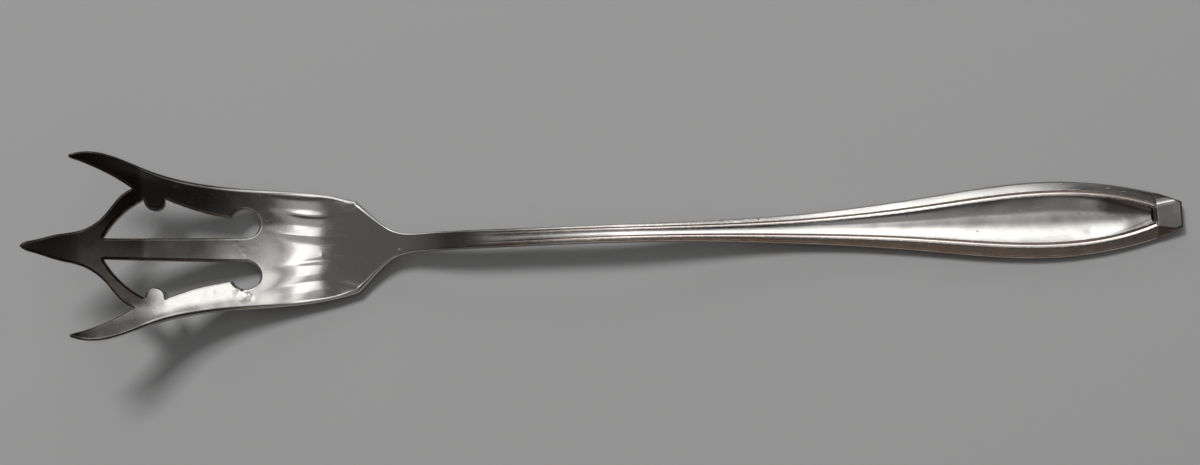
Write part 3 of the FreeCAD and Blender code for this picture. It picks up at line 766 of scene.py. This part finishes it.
def feed(socket, value):
    """Links a socket to another one, or sets it to a plain value."""
    if isinstance(value, bpy.types.NodeSocket):
        plate.links.new(value, socket)
    else:
        socket.default_value = value


def calc(operation, *values):
    """The result of one sum on values or sockets."""
    node = plate.nodes.new("ShaderNodeMath")
    node.operation = operation
    for socket, value in zip(node.inputs, values):
        feed(socket, value)
    return node.outputs[0]


def blend(share, first, second):
    """A colour between two others."""
    node = plate.nodes.new("ShaderNodeMix")
    node.data_type = "RGBA"
    feed(node.inputs["Factor"], share)
    feed(node.inputs["A"], first)
    feed(node.inputs["B"], second)
    return node.outputs["Result"]


def spread(value, low, high, start=0.0, end=1.0):
    """The value carried from the range low to high onto the range start to end, and held there."""
    node = plate.nodes.new("ShaderNodeMapRange")
    node.interpolation_type = "SMOOTHSTEP"
    feed(node.inputs["Value"], value)
    for name, number in (("From Min", low), ("From Max", high), ("To Min", start), ("To Max", end)):
        feed(node.inputs[name], number)
    return node.outputs["Result"]


def mask(name):
    """A mask of the skin, by its name."""
    node = plate.nodes.new("ShaderNodeAttribute")
    node.attribute_name = name
    return node.outputs["Fac"]


where = plate.nodes.new("ShaderNodeTexCoord").outputs["Object"]


def noise(scale, detail=3.0, stretch=(1.0, 1.0, 1.0), turn=0.0):
    """Cloudy noise; the scale is cells in a metre, and a stretch below 1 draws them out."""
    mapping = plate.nodes.new("ShaderNodeMapping")
    feed(mapping.inputs["Vector"], where)
    mapping.inputs["Rotation"].default_value = (0.0, 0.0, math.radians(turn))
    mapping.inputs["Scale"].default_value = stretch
    node = plate.nodes.new("ShaderNodeTexNoise")
    feed(node.inputs["Vector"], mapping.outputs["Vector"])
    node.inputs["Scale"].default_value = scale
    node.inputs["Detail"].default_value = detail
    return node.outputs["Fac"]


clouds = noise(260, 4.0)
fine_clouds = noise(1500, 3.0)
along_scratches = noise(5200, 2.0, (0.035, 1.0, 1.0))
slanted_scratches = noise(3800, 1.5, (0.05, 1.0, 1.0), turn=24)
crossing_scratches = noise(3000, 1.5, (0.04, 1.0, 1.0), turn=-38)
cell_map = plate.nodes.new("ShaderNodeTexVoronoi")
feed(cell_map.inputs["Vector"], where)
cell_map.inputs["Scale"].default_value = 420
pit_cells = calc("GREATER_THAN", noise(700, 0.0), 0.68)
pits = calc("MULTIPLY", spread(cell_map.outputs["Distance"], 0.05, 0.12, 1.0, 0.0), pit_cells)

edge_gap_mm = mask("edge_gap")
near_edge = spread(edge_gap_mm, 0.05, 0.55, 1.0, 0.0)
# Warm metal where the plate is rubbed at the edges; on the lower side of the handle it also paints a brown
# reflection.
rubbed_and_reflected = calc("MULTIPLY", near_edge, spread(noise(900, 3.0, (0.25, 1.0, 1.0)), 0.42, 0.68))
rubbed_and_reflected = calc("MULTIPLY", rubbed_and_reflected, mask("worn"))
# The painted shade is broken into lighter and darker patches by the clouds.
painted_shade_patches = calc("MULTIPLY", mask("painted_shade"), calc("SUBTRACT", 1.0, mask("painted_shade")))
painted_shade_patches = calc("MULTIPLY", painted_shade_patches, calc("MULTIPLY", calc("SUBTRACT", clouds, 0.5), 1.5))
painted_shade_share = calc("ADD", mask("painted_shade"), painted_shade_patches)
# Painted shade along the lips, made uneven by the fine clouds.
shade_on_lips = calc("MULTIPLY", mask("lip"), spread(fine_clouds, 0.25, 0.6, 0.4, 0.85))
# The painted brown reflection, blotched by the clouds.
painted_brown_reflection = calc("MULTIPLY", mask("border"), spread(clouds, 0.3, 0.7, 0.35, 0.8))
speck_share = calc("MULTIPLY", mask("border"), spread(noise(2600, 1.0, (0.5, 1.0, 1.0)), 0.66, 0.72))

colour = blend(spread(clouds, 0.3, 0.75, 0.0, 0.35), SILVER, DULL_SILVER)
colour = blend(calc("MULTIPLY", mask("thread"), 0.75), colour, THREAD_HIGHLIGHT)
colour = blend(calc("MINIMUM", calc("MAXIMUM", painted_shade_share, 0.0), 0.97), colour, PAINTED_SHADE)
colour = blend(painted_brown_reflection, colour, BROWN_REFLECTION)
colour = blend(shade_on_lips, colour, LIP_SHADE)
colour = blend(calc("MULTIPLY", rubbed_and_reflected, 0.8), colour, WARM_METAL)
colour = blend(calc("MULTIPLY", speck_share, 0.9), colour, COPPER_SPECK)
colour = blend(calc("MULTIPLY", pits, 0.8), colour, PIT_DIRT)
feed(surface.inputs["Base Color"], colour)
surface.inputs["Metallic"].default_value = 1.0

scratches = calc("MAXIMUM", spread(slanted_scratches, 0.66, 0.74), spread(crossing_scratches, 0.67, 0.75))
roughness = spread(clouds, 0.3, 0.7, 0.09, 0.15)
roughness = calc("ADD", roughness, calc("MULTIPLY", along_scratches, LINE_ROUGHNESS))
roughness = calc("ADD", roughness, calc("MULTIPLY", scratches, SCRATCH_ROUGHNESS))
roughness = calc("ADD", roughness, calc("MULTIPLY", calc("MAXIMUM", painted_shade_share, 0.0), PAINTED_SHADE_ROUGHNESS))
roughness = calc("ADD", roughness, calc("MULTIPLY", mask("border"), BORDER_ROUGHNESS))
feed(surface.inputs["Roughness"], roughness)

line_height = calc("ADD", LINE_HEIGHT, calc("MULTIPLY", mask("stem"), STEM_LINE_HEIGHT))
relief_height = calc("MULTIPLY", along_scratches, line_height)
relief_height = calc("SUBTRACT", relief_height, calc("MULTIPLY", scratches, SCRATCH_DEPTH))
relief_height = calc("SUBTRACT", relief_height, calc("MULTIPLY", pits, PIT_DEPTH))
relief_height = calc("ADD", relief_height, calc("MULTIPLY", fine_clouds, GRAIN_HEIGHT))
bump = plate.nodes.new("ShaderNodeBump")
bump.inputs["Distance"].default_value = 0.001
bump.inputs["Strength"].default_value = 1.0
feed(bump.inputs["Height"], relief_height)
feed(surface.inputs["Normal"], bump.outputs["Normal"])
skin.materials.append(silver)
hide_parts("salad_fork")
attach(fork, "root")

# The fork lies on a plain pale table top, matt and wide enough to fill the picture. It is set a
# hair below the fork, so that the two surfaces never meet.
FLOOR_REACH = 3.0
FLOOR_DROP = 0.0001
FLOOR_GREY = (0.36, 0.36, 0.36, 1.0)
FLOOR_ROUGHNESS = 0.9
floor_corners = [(x * FLOOR_REACH, y * FLOOR_REACH, 0) for x, y in ((-1, -1), (1, -1), (1, 1), (-1, 1))]
floor_mesh = bpy.data.meshes.new("table_top")
floor_mesh.from_pydata(floor_corners, [], [(0, 1, 2, 3)])
floor = bpy.data.objects.new("table_top", floor_mesh)
floor.location.z = -FLOOR_DROP
bpy.context.scene.collection.objects.link(floor)
table_grey = bpy.data.materials.new("pale_table")
table_grey.use_nodes = True
table_surface = table_grey.node_tree.nodes["Principled BSDF"]
table_surface.inputs["Base Color"].default_value = FLOOR_GREY
table_surface.inputs["Roughness"].default_value = FLOOR_ROUGHNESS
floor_mesh.materials.append(table_grey)

# Soft light for polished metal, which shows whatever is round it. Panels stand for a window, the
# ceiling and the walls, all level but one, each with its ranges along X and Y in metres and its
# brightness. Low rows close to the fork light the lower arm, and one soft key gives the shadow.
PANEL_HEIGHT = 1.5
NEAR_HEIGHT = 0.25
KEY_SIDE, KEY_WATTS, KEY_DISTANCE = 0.5, 27, 2.0
KEY_AZIMUTH, KEY_ELEVATION = -33, 55.5
ROOM_GREY, BACKDROP_GREY = (0.04, 0.04, 0.04, 1.0), (0.33, 0.33, 0.33, 1.0)
BROWN = (1.0, 0.78, 0.64)
WHITE = (1.0, 1.0, 1.0)


def towards(azimuth, elevation):
    """A direction: azimuth 0 is along +Y and 90 along +X, elevation is above the table."""
    turn, rise = math.radians(azimuth), math.radians(elevation)
    return Vector((math.sin(turn) * math.cos(rise), math.cos(turn) * math.cos(rise), math.sin(rise)))


def add_light(name, width, height, watts):
    """A rectangular studio light, hidden from the camera."""
    data = bpy.data.lights.new(name, "AREA")
    data.shape = "RECTANGLE"
    data.size, data.size_y = width, height
    data.energy = watts
    light = bpy.data.objects.new(name, data)
    light.visible_camera = False
    bpy.context.scene.collection.objects.link(light)
    return light


def add_panel(name, x_range, y_range, brightness, colour=WHITE, height=PANEL_HEIGHT):
    """A level panel above the table that faces down, of an even brightness."""
    (x0, x1), (y0, y1) = x_range, y_range
    panel = add_light(name, x1 - x0, y1 - y0, brightness * math.pi * (x1 - x0) * (y1 - y0))
    panel.location = (x0 + x1) / 2, (y0 + y1) / 2, height
    panel.data.color = colour
    return panel


add_panel("window", (0.0, 0.3), (-0.1, 1.0), 1.45)
add_panel("window_upper", (0.1, 0.3), (1.0, 1.8), 1.1)
add_panel("window_left", (-0.13, 0.0), (-0.05, 0.95), 1.0)
add_panel("window_left_top", (-0.2, 0.1), (1.0, 1.9), 0.36)
add_panel("window_side", (-0.26, -0.13), (-0.4, 0.95), 0.15)
add_panel("window_right", (0.3, 0.42), (-0.1, 1.8), 0.5)
add_panel("window_top", (0.0, 0.6), (1.8, 2.35), 0.8)
add_panel("window_right_end", (0.42, 0.64), (-0.1, 0.9), 0.2)
add_panel("side_window", (0.42, 0.7), (0.9, 1.8), 0.22)
add_panel("far_wall", (-0.3, 1.5), (2.35, 5.0), 0.85)
add_panel("ceiling", (-0.2, 0.3), (-0.8, -0.1), 0.33)
add_panel("ceiling_right", (0.3, 0.46), (-0.8, -0.1), 0.22)
add_panel("pale_wall", (-2.6, -0.26), (-2.0, 3.0), 0.06)
add_panel("brown_wall", (-0.6, 1.2), (-3.6, -1.2), 0.24, BROWN)
near_rows = ((-0.02, 0.02), 0.3), ((0.02, 0.055), 0.55), ((0.055, 0.09), 0.95), ((0.09, 0.3), 1.4)
near_columns = ("edge", (0.03, 0.05), 0.5), ("middle", (0.05, 0.168), 1.0)
for row, (y_range, brightness) in enumerate(near_rows):
    for column, x_range, share in near_columns:
        name = "near_window_%s_%d" % (column, row)
        near = add_panel(name, x_range, y_range, brightness * share, height=NEAR_HEIGHT)
        near.visible_diffuse = False
wall = add_panel("bright_wall", (-1.7, 0.3), (0.0, 1.2), 1.5)
wall.location = -0.7, 2.6, 0.85
wall.rotation_euler = math.radians(-90), 0.0, 0.0
fill = add_panel("fill", (-1.5, 1.5), (-1.5, 1.5), 0.3)
fill.visible_glossy = False
key = add_light("key", KEY_SIDE, KEY_SIDE, KEY_WATTS)
key_way = towards(KEY_AZIMUTH, KEY_ELEVATION)
key.location = key_way * KEY_DISTANCE
key.rotation_mode = "QUATERNION"
key.rotation_quaternion = key_way.to_track_quat("Z", "Y")
key.visible_glossy = False
world = bpy.data.worlds.new("room")
world.use_nodes = True
room = world.node_tree
backdrop = room.nodes.new("ShaderNodeMix")
backdrop.data_type = "RGBA"
backdrop.inputs["A"].default_value = ROOM_GREY
backdrop.inputs["B"].default_value = BACKDROP_GREY
room.links.new(room.nodes.new("ShaderNodeLightPath").outputs["Is Camera Ray"], backdrop.inputs["Factor"])
room.links.new(backdrop.outputs["Result"], room.nodes["Background"].inputs["Color"])
bpy.context.scene.world = world

# The camera stands where the photograph was taken from, 457 mm from the fork and almost straight
# above it. It is tipped a little towards the near side and turned a little round the upright.
CAMERA_DISTANCE, CAMERA_TILT, CAMERA_TURN = 0.457, 8.0, 2.31
AIM = Vector((-0.00283, 0.00122, 0.0))
LENS, SENSOR_WIDTH = 69.05, 36.0
NEAREST_SEEN = 0.01
camera_data = bpy.data.cameras.new("camera")
camera_data.sensor_width = SENSOR_WIDTH
camera_data.lens = LENS
camera = bpy.data.objects.new("camera", camera_data)
bpy.context.scene.collection.objects.link(camera)
tilt, turn = math.radians(CAMERA_TILT), math.radians(CAMERA_TURN)
ahead = Vector((math.sin(turn), math.cos(turn), 0.0))
right = Vector((math.cos(turn), -math.sin(turn), 0.0))
back = Vector((0, 0, math.cos(tilt))) - ahead * math.sin(tilt)
up = Vector((0, 0, math.sin(tilt))) + ahead * math.cos(tilt)
stand = AIM + back * CAMERA_DISTANCE
camera.matrix_world = Matrix.Translation(stand) @ Matrix((right, up, back)).transposed().to_4x4()
camera_data.clip_start = NEAREST_SEEN
bpy.context.scene.camera = camera
bpy.context.scene.view_settings.view_transform = "Standard"
